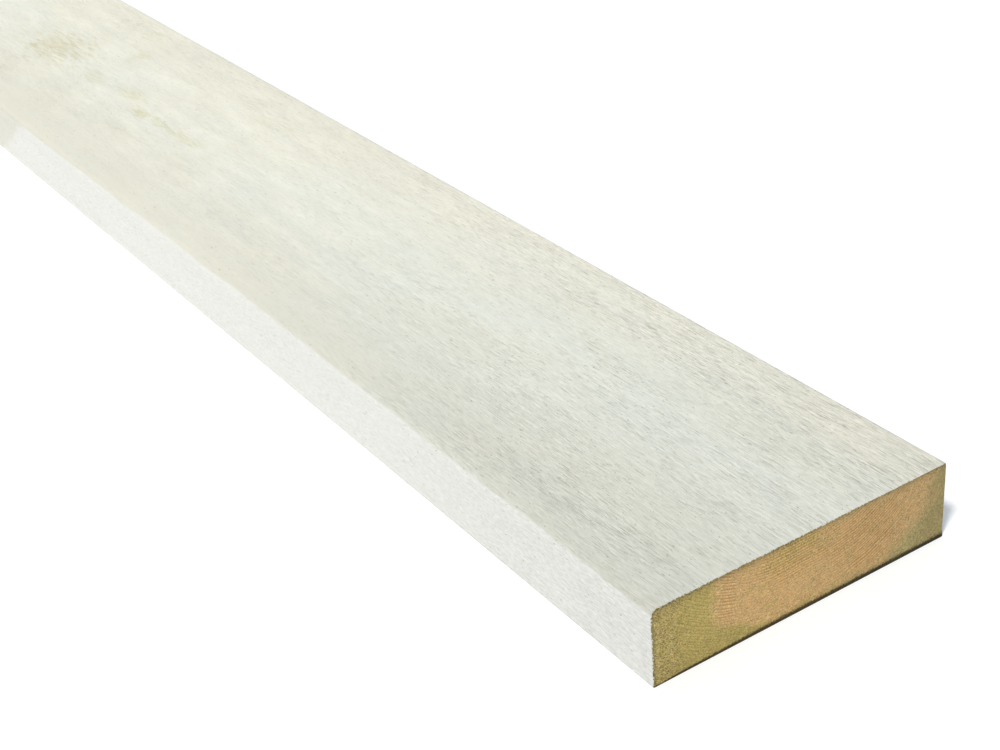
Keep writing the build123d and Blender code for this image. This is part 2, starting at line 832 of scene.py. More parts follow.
    def busy(self, sheet: NodeSheet, spot: Spot, narrow: Socket) -> Socket:
        """Follow how rough the sawn grain is: most beside the cuts and the back arris, else patchy.

        Args:
            sheet: The node sheet.
            spot: The spot on the plank.
            narrow: 1 on a narrow face, 0 on a wide one.

        Returns:
            The roughness of the grain, about 1 where it is full.
        """
        patches = self.rough_patches.draw(sheet, self.rough_drift.draw(sheet, spot.place))
        along = self.rough_along.draw(sheet, spot.from_cut)
        back = self.rough_back.draw(sheet, spot.across, self.half_width)
        wide = sheet.product(patches, along, self.front_calm(sheet, spot), back)
        return sheet.between(narrow, wide, self.rough_edge.draw(sheet, spot.from_cut))

    def wash(self, sheet: NodeSheet, spot: Spot, narrow: Socket) -> Socket:
        """Mix the wash of the wide faces, from cool to warm, with the thicker one of the narrow faces.

        Args:
            sheet: The node sheet.
            spot: The spot on the plank.
            narrow: 1 on a narrow face, 0 on a wide one.

        Returns:
            The colour of the wash.
        """
        drift = self.swing(sheet, self.warm_drift.draw(sheet, spot.place), self.warm_swing)
        front = self.warm_front.draw(sheet, spot.across, self.half_width)
        back = self.warm_back.draw(sheet, spot.across, self.half_width)
        far = self.warm_along.draw(sheet, spot.from_cut)
        wide = sheet.mix(sheet.total(drift, front, back, far), self.cool_wash, self.warm_wash)
        return sheet.mix(narrow, wide, self.edge_wash)

    def whitening(self, sheet: NodeSheet, spot: Spot, narrow: Socket) -> Socket:
        """Follow how the tone grows lighter away from the cuts and from the front, with painted shade on the
        rounded arris.

        Args:
            sheet: The node sheet.
            spot: The spot on the plank.
            narrow: 1 on a narrow face, 0 on a wide one.

        Returns:
            The tone, about 1.
        """
        gain = sheet.between(narrow, self.wide_gain, self.edge_gain)
        start = sheet.between(narrow, self.wide_tone, self.edge_tone)
        along = sheet.math("MULTIPLY_ADD", self.white_along.draw(sheet, spot.from_cut), gain, start)
        # Darker towards the front of the wide faces
        worn = self.front_tone_along.draw(sheet, spot.from_cut)
        front = self.front_tone_reach.draw(sheet, spot.across, self.half_width, low=worn)
        # Painted shade on the rounded arris, against its highlight
        arris = self.arris_painted_shade.draw(sheet, spot.below)
        far_back = self.back_along.draw(sheet, spot.from_cut)
        back = self.back_reach.draw(sheet, spot.across, self.half_width, high=far_back)
        foot = self.foot_tone.draw(sheet, spot.height, self.thickness)
        return sheet.product(along, sheet.between(narrow, sheet.product(front, arris, back), foot))

    def stain_tint(self, sheet: NodeSheet, spot: Spot) -> Socket:
        """Tint the wash over the knot and the resin marks in the wood.

        Args:
            sheet: The node sheet.
            spot: The spot on the plank.

        Returns:
            A factor for the colour, white away from the marks.
        """
        drift = self.stain_drift.draw(sheet, spot.place)
        waver = self.swing(sheet, drift, self.stain_swing, self.stain_shrink)
        strands = self.strand_bound.draw(sheet, self.stain_strands.draw(sheet, spot.place))
        strands = sheet.product(strands, self.stain_depth.draw(sheet, spot.height, self.thickness))
        tint = WHITE
        for marks, stain in ((self.knot, self.knot_tint), (self.resin, self.resin_tint)):
            shares = [mark.draw(sheet, (spot.along, spot.across), waver) for mark in marks]
            tint = sheet.mix(sheet.product(sheet.total(*shares), strands), tint, stain)
        return tint

    def flecks(self, sheet: NodeSheet, patterns: TimberPatterns, grain: Socket, busy: Socket,
               narrow: Socket) -> Socket:
        """Scatter the small dark dashes where the wash is thin or has missed the wood.

        Args:
            sheet: The node sheet.
            patterns: The shared groups.
            grain: The place that the streaks are read at.
            busy: How rough the grain is.
            narrow: 1 on a narrow face, 0 on a wide one.

        Returns:
            How thin the wash is, from 0 to 1.
        """
        faint = self.dash_bound.draw(sheet, self.dashes.draw(sheet, patterns, grain))
        faint = sheet.product(faint, busy, sheet.between(narrow, 1.0, self.edge_dashes))
        clear = self.nick_bound.draw(sheet, self.nicks.draw(sheet, patterns, grain))
        clear = sheet.product(clear, sheet.between(narrow, self.wide_nicks, self.edge_nicks))
        return sheet.math("MAXIMUM", faint, clear)

    def torn(self, sheet: NodeSheet, spot: Spot) -> Socket:
        """Mark the ragged fringe beside a cut, where the saw has torn the wash off.

        Args:
            sheet: The node sheet.
            spot: The spot on the plank.

        Returns:
            1 where the wash is gone, else 0.
        """
        reach = self.tear_reach.draw(sheet, self.tear_drift.draw(sheet, spot.place))
        return self.tear_bound.draw(sheet, sheet.math("SUBTRACT", spot.from_cut, reach))


@dataclass(frozen=True)
class BareFinish(Finish):
    """Bare sawn end grain: tan heartwood inside green treated sapwood, with fine growth rings."""

    # Colours
    heartwood: Colour = (0.617, 0.413, 0.189)
    rosy_heartwood: Colour = (0.532, 0.357, 0.168)
    pale_heartwood: Colour = (0.62, 0.42, 0.20)
    sapwood: Colour = (0.482, 0.390, 0.136)
    dusty_sapwood: Colour = (0.385, 0.325, 0.148)
    grey_sapwood: Colour = (0.335, 0.275, 0.124)
    brown_sapwood: Colour = (0.48, 0.38, 0.155)
    wash_lip: Colour = (0.76, 0.775, 0.70)
    late_tint: Colour = (0.72, 0.63, 0.51)

    # Rings, and how clearly they show
    pith: Pith = Pith()
    clean_cuts: tuple[Patch, ...] = (
        Patch(centre=(-39.0, 25.0), half=(5.0, 15.0), strength=1.4),
        Patch(centre=(-6.0, 29.0), half=(20.0, 15.0), strength=1.3),
        Patch(centre=(32.0, 22.0), half=(23.0, 18.0), strength=1.5),
        Patch(centre=(-55.0, 20.0), half=(14.0, 30.0), strength=0.35),
    )
    clearest: float = 1.5
    clear_rings: float = 0.7
    furred_rings: float = 0.25

    # Drift that the bounds between the kinds of wood follow
    drift: Cloud = Cloud.even(0.16, detail=3.0)
    bound_swing: float = 9.0
    patch_swing: float = 2.0

    # Heartwood
    heart_radius: float = 91.5
    mottle: Cloud = Cloud.even(0.09, detail=3.0)
    mottle_swing: float = 110.0
    rosy_bound: Fade = Fade(-25.0, 55.0)
    pale_start: Fade = Fade(-5.0, 2.0)
    pale_stop: Fade = Fade(6.0, 14.0, 1.0, 0.0)
    pale_foot: Fade = Fade(10.0, 18.0)

    # Sapwood and the wood that the treatment has reached
    dusty_bound: Fade = Fade(-10.0, 40.0)
    grey_bound: Fade = Fade(54.0, 70.0)
    brown_drift: Fade = Fade(0.36, 0.62)
    brown_reach: Fade = Fade(4.0, 20.0, 1.0, 0.0)
    treated: Patch = Patch(centre=(-4.0, 36.0), half=(22.0, 15.0), strength=0.6)
    treated_drift: Fade = Fade(0.48, 0.7, 0.0, 0.4)
    sap_blur: float = 2.5
    front_soak: float = 31.0
    front_foot: tuple[float, float] = (14.0, 2.2)
    front_bound: Fade = Fade(-5.0, 3.0, 1.0, 0.0)
    back_soak: float = 10.0
    back_foot: tuple[float, float] = (20.0, 1.4)
    back_bound: Fade = Fade(-10.0, 7.0, 1.0, 0.0)
    upper_bound: Fade = Fade(0.0, 4.0, 0.5, 0.0)
    under_bound: Fade = Fade(1.0, 6.0, 0.75, 0.0)
    under_stray: float = 1.5

    # Fur that the saw has raised, in strokes that are drawn out along the rings
    stroke_stretch: float = 1.9
    fuzz: Cloud = Cloud.even(2.8, detail=3.0, rough=0.75)
    tufts: Cloud = Cloud.even(0.5, detail=2.0, rough=0.6)
    fur: float = 2.8
    patch_fur: float = 3.6
    front_fur: Fade = Fade(4.0, 22.0, 1.8, 0.0)
    fur_tone: float = 1.1
    tuft_swing: float = 0.5
    clear_lift: float = 0.06

    # Rims of the cut
    ragged: Cloud = Cloud.even(1.15, detail=3.0, rough=0.65)
    lip_hang: Fade = Fade(0.1, 0.5, 0.3, 0.0)
    lip_teeth: Fade = Fade(0.4, 0.66, -0.25, 0.5)
    lip_bound: Fade = Fade(-0.12, 0.12, 1.0, 0.0)
    fray_start: float = 0.2
    fray_reach: float = 3.0
    fray_shade: float = 0.62
    upper_shade: Fade = Fade(-0.3, 0.1, 0.76, 0.95)
    upper_reach: Fade = Fade(0.0, 6.0)
    # The dark foot of the cut: partly damp wood, partly painted contact shadow against the floor
    damp_shadow_reach: Fade = Fade(-1.0, -0.1, 1.5, 4.1)
    damp_shadow_skin: Fade = Fade(-1.0, -0.8, 0.05, 0.8)
    damp_shadow_core: float = 0.45
    damp_shadow_tone: float = 0.13
    # Darker towards the bottom of the cut, reaching higher at the front
    low_dark_start: float = 1.0
    low_dark_reach: Fade = Fade(-0.5, -0.3, 17.0, 5.0)
    low_dark_tone: float = 0.86
    specks: Cloud = Cloud.even(1.1, detail=3.0, rough=0.7)
    speck_bound: Fade = Fade(0.5, 0.62, 0.0, 0.38)
    speck_reach: Fade = Fade(5.0, 24.0, 1.0, 0.0)

    # Surface
    gloss: float = 0.2
    bump_strength: float = 0.5
    bump_depth: float = 0.9
    roughness: float = 0.9
    late_polish: float = -0.08
    late_height: float = 0.2
    tuft_height: float = 0.5

    def make(self, patterns: TimberPatterns) -> bpy.types.Material:
        """Write the material.

        Args:
            patterns: The shared groups.

        Returns:
            The finished material.
        """
        material, sheet, shader, spot = self.open()
        rings = sheet.group(patterns.rings, {
            "Position": spot.place, "Pith Across": self.pith.across, "Pith Height": self.pith.height,
            "Ring Pitch": self.pith.ring_pitch, "Cut": self.half_length, "Taper": self.pith.taper,
            "Wobble": self.pith.wobble, "Flat": self.pith.flat})
        radius = rings.outputs["Radius"]
        drift = self.drift.draw(sheet, spot.place)
        stray = self.swing(sheet, drift, self.bound_swing)
        clear = self.clean(sheet, spot, drift)
        shown = sheet.math("MULTIPLY_ADD", clear, self.clear_rings, self.furred_rings)
        late = sheet.product(rings.outputs["Latewood"], shown)
        lay = self.along_rings(sheet, spot, radius)
        fuzz = self.fuzz.draw(sheet, lay)
        tufts = self.tufts.draw(sheet, lay)

        waver = self.swing(sheet, drift, self.patch_swing)
        patch = self.treated.draw(sheet, (spot.across, spot.height), waver)
        patch = sheet.math("MAXIMUM", patch, self.treated_drift.draw(sheet, drift))
        green = self.soaked(sheet, spot, radius, stray, patch)
        colour = sheet.mix(green, self.heart(sheet, spot, stray), self.sap(sheet, spot, drift))
        colour = sheet.vector("MULTIPLY", colour, sheet.mix(late, WHITE, self.late_tint))
        furred = sheet.total(sheet.math("MULTIPLY", patch, self.patch_fur),
                             self.front_fur.draw(sheet, spot.from_front), self.fur)
        tone = sheet.math("MULTIPLY_ADD", sheet.math("SUBTRACT", fuzz, NOISE_MEAN), furred, self.fur_tone)
        tone = sheet.math("MULTIPLY_ADD", clear, self.clear_lift, tone)
        tone = self.swing(sheet, tufts, self.tuft_swing, tone)
        ragged = self.ragged.draw(sheet, spot.place)
        gap = self.from_lip(sheet, spot, ragged)
        tone = sheet.product(tone, self.rim_shade(sheet, spot, gap, ragged))
        colour = sheet.mix(self.lip_bound.draw(sheet, gap), sheet.scaled(colour, tone), self.wash_lip)

        roughness = sheet.math("MULTIPLY_ADD", late, self.late_polish, self.roughness)
        relief = sheet.total(fuzz, sheet.math("MULTIPLY", late, self.late_height),
                             sheet.math("MULTIPLY", tufts, self.tuft_height))
        self.dress(sheet, shader, colour, roughness, relief)
        return material

    def along_rings(self, sheet: NodeSheet, spot: Spot, radius: Socket) -> Socket:
        """Lay the cut out along its rings, so that a noise read there runs in short strokes beside them.

        Args:
            sheet: The node sheet.
            spot: The spot on the plank.
            radius: The distance from the pith, in millimetres.

        Returns:
            The place along the grain, along the ring and out from the pith.
        """
        aside = sheet.math("SUBTRACT", spot.across, self.pith.across)
        drop = sheet.math("SUBTRACT", self.pith.height, spot.height)
        turn = sheet.math("ARCTAN2", aside, drop)
        run = sheet.math("MULTIPLY", turn, self.heart_radius / self.stroke_stretch)
        return sheet.join(spot.along, run, radius)

    def clean(self, sheet: NodeSheet, spot: Spot, drift: Socket) -> Socket:
        """Mark where the saw has cut clean, so that the rings show.

        Args:
            sheet: The node sheet.
            spot: The spot on the plank.
            drift: A noise that the bounds follow.

        Returns:
            How clearly the rings show, 0 where the cut is furred.
        """
        waver = self.swing(sheet, drift, self.patch_swing)
        shares = [patch.draw(sheet, (spot.across, spot.height), waver) for patch in self.clean_cuts]
        return sheet.math("MINIMUM", sheet.total(*shares), self.clearest)

    def heart(self, sheet: NodeSheet, spot: Spot, stray: Socket) -> Socket:
        """Colour the heartwood: tan, rosier towards the back, with a pale torn band by the soaked front.

        Args:
            sheet: The node sheet.
            spot: The spot on the plank.
            stray: How far the bounds stray, in millimetres.

        Returns:
            The colour.
        """
        mottle = self.swing(sheet, self.mottle.draw(sheet, spot.place), self.mottle_swing, spot.across)
        plain = sheet.mix(self.rosy_bound.draw(sheet, mottle), self.heartwood, self.rosy_heartwood)
        inwards = sheet.math("ADD", spot.from_front, stray)
        from_soak = self.from_soak(sheet, inwards, spot.height, self.front_soak, self.front_foot)
        pale = sheet.product(self.pale_start.draw(sheet, from_soak), self.pale_stop.draw(sheet, from_soak),
                             self.pale_foot.draw(sheet, spot.height))
        return sheet.mix(pale, plain, self.pale_heartwood)

    def sap(self, sheet: NodeSheet, spot: Spot, drift: Socket) -> Socket:
        """Colour the treated sapwood: olive, browner in patches at the front, dusty and grey at the back.

        Args:
            sheet: The node sheet.
            spot: The spot on the plank.
            drift: A noise that the bounds follow.

        Returns:
            The colour.
        """
        dusty = sheet.mix(self.dusty_bound.draw(sheet, spot.across), self.sapwood, self.dusty_sapwood)
        grey = sheet.mix(self.grey_bound.draw(sheet, spot.across), dusty, self.grey_sapwood)
        browned = sheet.product(self.brown_drift.draw(sheet, drift),
                                self.brown_reach.draw(sheet, spot.from_front))
        return sheet.mix(browned, grey, self.brown_sapwood)

    @staticmethod
    def from_soak(sheet: NodeSheet, inwards: Socket, height: Socket, soak: float,
                  foot: tuple[float, float]) -> Socket:
        """Measure how far a point lies inside the bound of a soaked side, which leans in at its foot.

        Args:
            sheet: The node sheet.
            inwards: The distance from the side, in millimetres.
            height: The height in millimetres.
            soak: How deep the side is soaked, in millimetres.
            foot: The height that the lean starts at, and how far it runs in for each millimetre down.

        Returns:
            The distance in millimetres, below 0 in the soaked wood.
        """
        below = sheet.math("MAXIMUM", sheet.math("SUBTRACT", foot[0], height), 0.0)
        bound = sheet.math("MULTIPLY_ADD", below, foot[1], soak)
        return sheet.math("SUBTRACT", inwards, bound)

    def from_lip(self, sheet: NodeSheet, spot: Spot, ragged: Socket) -> Socket:
        """Measure how far a point lies from the ragged lip of wash along the upper and the front rim.

        Args:
            sheet: The node sheet.
            spot: The spot on the plank.
            ragged: A noise that the lip follows.

        Returns:
            The distance in millimetres, below 0 on the lip.
        """
        hang = self.lip_hang.draw(sheet, spot.across, self.half_width)
        lip = sheet.math("ADD", hang, self.lip_teeth.draw(sheet, ragged))
        return sheet.math("SUBTRACT", sheet.math("MINIMUM", spot.below, spot.from_front), lip)

    def soaked(self, sheet: NodeSheet, spot: Spot, radius: Socket, stray: Socket, patch: Socket) -> Socket:
        """Mark the wood that took up the green treatment: sapwood, a skin under each face, and patches.

        Args:
            sheet: The node sheet.
            spot: The spot on the plank.
            radius: The distance from the pith, in millimetres.
            stray: How far the bounds stray, in millimetres.
            patch: The patches that took up some.

        Returns:
            How green the wood is, from 0 to 1.
        """
        sap = sheet.ramp(sheet.math("ADD", radius, stray), self.heart_radius - self.sap_blur,
                         self.heart_radius + self.sap_blur)
        from_front = sheet.math("ADD", spot.from_front, stray)
        from_front = self.from_soak(sheet, from_front, spot.height, self.front_soak, self.front_foot)
        from_back = sheet.math("ADD", sheet.math("SUBTRACT", self.half_width, spot.across), stray)
        from_back = self.from_soak(sheet, from_back, spot.height, self.back_soak, self.back_foot)
        from_upper = sheet.math("ADD", spot.below, stray)
        from_under = sheet.math("MULTIPLY_ADD", stray, self.under_stray, spot.height)
        sides = [self.front_bound.draw(sheet, from_front), self.back_bound.draw(sheet, from_back),
                 self.upper_bound.draw(sheet, from_upper), self.under_bound.draw(sheet, from_under)]
        return sheet.chain("MAXIMUM", sap, *sides, patch)

    def rim_shade(self, sheet: NodeSheet, spot: Spot, gap: Socket, ragged: Socket) -> Socket:
        """Darken the frayed fibres and a band under the upper rim, the damp foot with its painted contact
        shadow, the lower cut, and front specks.

        Args:
            sheet: The node sheet.
            spot: The spot on the plank.
            gap: The distance from the lip of wash, in millimetres.
            ragged: A noise that the bounds follow.

        Returns:
            A factor for the colour, 1 away from the rims.
        """
        fray_stop = sheet.math("MULTIPLY_ADD", ragged, self.fray_reach, self.fray_start)
        frayed = sheet.ramp(gap, self.fray_start, fray_stop, self.fray_shade, 1.0)
        band = self.upper_shade.draw(sheet, spot.across, self.half_width)
        upper = self.upper_reach.draw(sheet, spot.below, low=band)
        # The dark foot: partly damp wood, partly painted contact shadow
        reach = self.damp_shadow_reach.draw(sheet, spot.across, self.half_width)
        skin = self.damp_shadow_skin.draw(sheet, spot.across, self.half_width)
        damp_shadow_stop = sheet.math("MULTIPLY_ADD", ragged, reach, skin)
        damp_shadow_start = sheet.math("MULTIPLY", damp_shadow_stop, self.damp_shadow_core)
        damp_shadow = sheet.ramp(spot.height, damp_shadow_start, damp_shadow_stop, self.damp_shadow_tone, 1.0)
        # Darker towards the bottom of the cut
        low_dark_stop = self.low_dark_reach.draw(sheet, spot.across, self.half_width)
        low_dark = sheet.ramp(spot.height, self.low_dark_start, low_dark_stop, self.low_dark_tone, 1.0)
        specks = sheet.product(self.speck_bound.draw(sheet, self.specks.draw(sheet, spot.place)),
                               self.speck_reach.draw(sheet, spot.from_front))
        return sheet.product(frayed, upper, damp_shadow, low_dark, sheet.math("SUBTRACT", 1.0, specks))


@dataclass(frozen=True)
class BakeLayout:
    """How the faces share the bake map: the cuts side by side below, the long faces in strips above.

    The values are shares of the map's side. The strips are in the order of the long faces. The stretch of a
    strip beside a cut is a length on the plank, and it ends at the left or the right mark.
    """

    margin: float = 0.004
    left_cut: float = 0.505
    cut_breadth: float = 0.491
    cut_top: float = 0.122
    strips_from: float = 0.131
    strips: tuple[float, float, float, float] = (0.18, 0.11, 0.42, 0.13)
    strip_gap: float = 0.006
    left_mark: float = 0.05
    right_mark: float = 0.92
    beside_cut: float = 30.0 * MM


@dataclass
class SawnPlank:
    """The plank: a rounded section run along the grain, with the relief of the saw and of handling."""

    length: float
    width: float
    thickness: float
    rounded_radius: float = 3.5 * MM
    eased_radius: float = 0.5 * MM
    fibre_room: float = 0.12 * MM

    # The lattice
    across_cells: int = 200
    through_cells: int = 48
    along_cells: int = 130
    arris_points: int = 9
    rim_rows: tuple[float, ...] = (0.0, 0.5 * MM, 1.2 * MM, 2.6 * MM, 5.5 * MM)
    even_rows_from: float = 11.0 * MM
    bake: BakeLayout = BakeLayout()

    # The relief
    strand_depth: float = 0.09 * MM
    strand_length: float = 120.0 * MM
    strand_breadth: float = 3.4 * MM
    strand_detail: float = 2.0
    waves: Cloud = Cloud((4.0, 14.0, 14.0), detail=1.0, rough=0.5)
    arris_wear: float = 1.0 * MM
    wear_drift: Cloud = Cloud((22.0, 60.0, 60.0), detail=3.0, rough=0.5)
    rounded_reach: float = 4.5 * MM
    rounded_share: float = 1.0
    eased_reach: float = 1.2 * MM
    eased_share: float = 0.1
    rim_tear: float = 0.28 * MM
    tear_drift: Cloud = Cloud.even(430.0, detail=2.0, rough=0.6)
    tear_reach: float = 0.7 * MM
    flat_below: float = 3.0 * MM
    cut_facing: float = 0.7

    def corners(self) -> list[tuple[float, float, float, float]]:
        """List the arrises of the section as arcs.

        Returns:
            For each arris the arc's centre across and up, its radius and its first angle in degrees, in the
            order front lower, back lower, back upper, front upper.
        """
        half = self.width / 2
        eased, rounded = self.eased_radius, self.rounded_radius
        return [(-half + eased, eased, eased, 180.0), (half - eased, eased, eased, 270.0),
                (half - eased, self.thickness - eased, eased, 0.0),
                (-half + rounded, self.thickness - rounded, rounded, 90.0)]

    def side(self, which: Side) -> np.ndarray:
        """Sample one long face of the section, from the middle of one arris to the middle of the next.

        Args:
            which: The face.

        Returns:
            Its points across and up, evenly spaced.
        """
        corners = self.corners()
        cells = self.across_cells if which in (Side.UNDER, Side.UPPER) else self.through_cells
        halves = []
        for corner, first, last in ((corners[which.value], ARRIS_TURN / 2, ARRIS_TURN),
                                    (corners[(which.value + 1) % len(corners)], 0.0, ARRIS_TURN / 2)):
            across, up, radius, start = corner
            angles = np.radians(start + np.linspace(first, last, self.arris_points))
            arc = np.stack([across + radius * np.cos(angles), up + radius * np.sin(angles)], axis=1)
            halves.append(arc)
        path = np.concatenate(halves)
        run = np.concatenate([[0.0], np.cumsum(np.linalg.norm(np.diff(path, axis=0), axis=1))])
        stations = np.linspace(0.0, run[-1], cells + 1)
        return np.stack([np.interp(stations, run, path[:, axis]) for axis in (0, 1)], axis=1)

    def stations(self) -> np.ndarray:
        """Place the cross-sections along the grain, close together beside the cuts.

        Returns:
            Their places along X.
        """
        end = self.length / 2 - self.fibre_room
        close = np.array(self.rim_rows)
        middle = np.linspace(-end + self.even_rows_from, end - self.even_rows_from, self.along_cells)
        return np.concatenate([-end + close, middle, (end - close)[::-1]])

    def build_stock(self) -> bpy.types.Mesh:
        """Build the plain stock as a closed lattice, with its bake map and the shares for its relief.

        Returns:
            The mesh, whose first and last rings of points are the rims of the cuts.
        """
        sides = [self.side(which) for which in Side]
        ring = np.concatenate([points[:-1] for points in sides])
        rows = self.stations()
        count = len(ring)
        points = [np.column_stack([np.full(count, row), ring]) for row in rows]
        here = np.arange(count)
        after = (here + 1) % count
        first_row = np.stack([here, after, after + count, here + count], axis=1)
        cells = [first_row + count * number for number in range(len(rows) - 1)]
        maps = [self.face_map(rows, sides)]
        total = count * len(rows)
        for cut in Cut:
            first = 0 if cut is Cut.LEFT else count * (len(rows) - 1)
            inner, grid = self.cap(sides, first, total, rows[0 if cut is Cut.LEFT else -1])
            cells.append(self.cut_cells(grid, cut).reshape(-1, 4))
            maps.append(self.cut_map(cut))
            points.append(inner)
            total += len(inner)
        mesh = bpy.data.meshes.new("plank")
        mesh.from_pydata(np.concatenate(points).tolist(), [], np.concatenate(cells).tolist())
        mesh.uv_layers.new(name=BAKE_MAP).data.foreach_set("uv", np.concatenate(maps).ravel())
        mesh.polygons.foreach_set("use_smooth", np.ones(len(mesh.polygons), bool))
        self.mark_shares(mesh, ring, rows, total)
        self.sharpen_rims(mesh, count, len(rows), total)
        return mesh

    @staticmethod
    def cut_cells(grid: np.ndarray, cut: Cut) -> np.ndarray:
        """List the four corners of each cell of a cut's grid, so that the cells face outwards.

        Args:
            grid: What the grid holds at each point, across by up.
            cut: Which cut.

        Returns:
            The corners, across by up by corner.
        """
        corners = [grid[:-1, :-1], grid[1:, :-1], grid[1:, 1:], grid[:-1, 1:]]
        return np.stack(corners if cut is Cut.RIGHT else corners[::-1], axis=2)

    def cap(self, sides: list[np.ndarray], first: int, total: int,
            place: float) -> tuple[np.ndarray, np.ndarray]:
        """Fill one cut with a grid that shares the rim's points.

        Args:
            sides: The section's long faces.
            first: The number of the rim's first point.
            total: How many points there are so far.
            place: Where the cut lies along X.

        Returns:
            The new inner points, and the numbers of all the grid's points, across by up.
        """
        wide, high = self.across_cells, self.through_cells
        grid = np.zeros((wide + 1, high + 1), int)
        ring = first + np.arange(2 * (wide + high) + 1)
        ring[-1] = first
        grid[:, 0] = ring[:wide + 1]
        grid[-1, :] = ring[wide:wide + high + 1]
        grid[:, -1] = ring[wide + high:2 * wide + high + 1][::-1]
        grid[0, :] = ring[2 * wide + high:][::-1]
        grid[1:-1, 1:-1] = total + np.arange((wide - 1) * (high - 1)).reshape(wide - 1, high - 1)
        under, back, upper, front = sides
        upper, front = upper[::-1], front[::-1]
        u = np.linspace(0.0, 1.0, wide + 1)[1:-1, None, None]
        v = np.linspace(0.0, 1.0, high + 1)[None, 1:-1, None]
        patch = (1 - v) * under[1:-1, None] + v * upper[1:-1, None]
        patch = patch + (1 - u) * front[None, 1:-1] + u * back[None, 1:-1]
        patch -= (1 - u) * ((1 - v) * under[0] + v * upper[0]) + u * ((1 - v) * under[-1] + v * upper[-1])
        flat = patch.reshape(-1, 2)
        return np.column_stack([np.full(len(flat), place), flat]), grid

    def face_map(self, rows: np.ndarray, sides: list[np.ndarray]) -> np.ndarray:
        """Lay the long faces out on the bake map as strips, with more room beside the cuts.

        Args:
            rows: The places of the cross-sections.
            sides: The section's long faces.

        Returns:
            The map's points for each corner of each cell.
        """
        bake = self.bake
        half = self.length / 2
        places = [-half, -half + bake.beside_cut, half - bake.beside_cut, half]
        along = np.interp(rows, places, [bake.margin, bake.left_mark, bake.right_mark, 1.0 - bake.margin])
        base = bake.strips_from
        low, high = [], []
        for strip, points in zip(bake.strips, sides):
            marks = base + strip * np.linspace(0.0, 1.0, len(points))
            low.append(marks[:-1])
            high.append(marks[1:])
            base += strip + bake.strip_gap
        low, high = np.concatenate(low), np.concatenate(high)
        corners = []
        for start, stop in zip(along[:-1], along[1:]):
            first, last = np.full(len(low), start), np.full(len(low), stop)
            corners.append(np.stack([first, low, first, high, last, high, last, low], axis=1))
        return np.concatenate(corners).reshape(-1, 2)

    def cut_map(self, cut: Cut) -> np.ndarray:
        """Lay one cut out on the bake map, below the strips.

        Args:
            cut: Which cut.

        Returns:
            The map's points for each corner of each cell.
        """
        bake = self.bake
        start = bake.left_cut if cut is Cut.LEFT else bake.margin
        u = np.linspace(start, start + bake.cut_breadth, self.across_cells + 1)
        v = np.linspace(bake.margin, bake.cut_top, self.through_cells + 1)
        spots = np.stack(np.meshgrid(u, v, indexing="ij"), axis=-1)
        return self.cut_cells(spots, cut).reshape(-1, 2)

    def mark_shares(self, mesh: bpy.types.Mesh, ring: np.ndarray, rows: np.ndarray, total: int) -> None:
        """Store how much each point shares in the wear of an arris and in the tearing of a cut's rim.

        Args:
            mesh: The stock.
            ring: The outline of the section.
            rows: The places of the cross-sections.
            total: How many points the stock has.
        """
        eased = (self.eased_reach, self.eased_share)
        wears = (eased, eased, eased, (self.rounded_reach, self.rounded_share))
        worn = np.zeros(len(ring))
        for (across, up, radius, start), (reach, share) in zip(self.corners(), wears):
            middle = math.radians(start + ARRIS_TURN / 2)
            tip = np.array([across + radius * math.cos(middle), up + radius * math.sin(middle)])
            gap = np.linalg.norm(ring - tip, axis=1)
            worn = np.maximum(worn, share * np.exp(-(gap / reach) ** 2))
        from_rim = self.length / 2 - self.fibre_room - np.abs(rows)
        torn = np.exp(-(from_rim / self.tear_reach) ** 2)
        for name, shares in (("arris", np.tile(worn, len(rows))), ("rim", np.repeat(torn, len(ring)))):
            values = np.zeros(total)
            values[:len(shares)] = shares
            mesh.attributes.new(name, "FLOAT", "POINT").data.foreach_set("value", values)

    @staticmethod
    def sharpen_rims(mesh: bpy.types.Mesh, count: int, rows: int, total: int) -> None:
        """Keep the rims of the cuts crisp.

        Args:
            mesh: The stock.
            count: How many points a cross-section has.
            rows: How many cross-sections there are.
            total: How many points the stock has.
        """
        on_rim = np.zeros(total, bool)
        on_rim[:count] = True
        on_rim[count * (rows - 1):count * rows] = True
        edges = np.zeros(2 * len(mesh.edges), int)
        mesh.edges.foreach_get("vertices", edges)
        mesh.edges.foreach_set("use_edge_sharp", on_rim[edges.reshape(-1, 2)].all(axis=1))

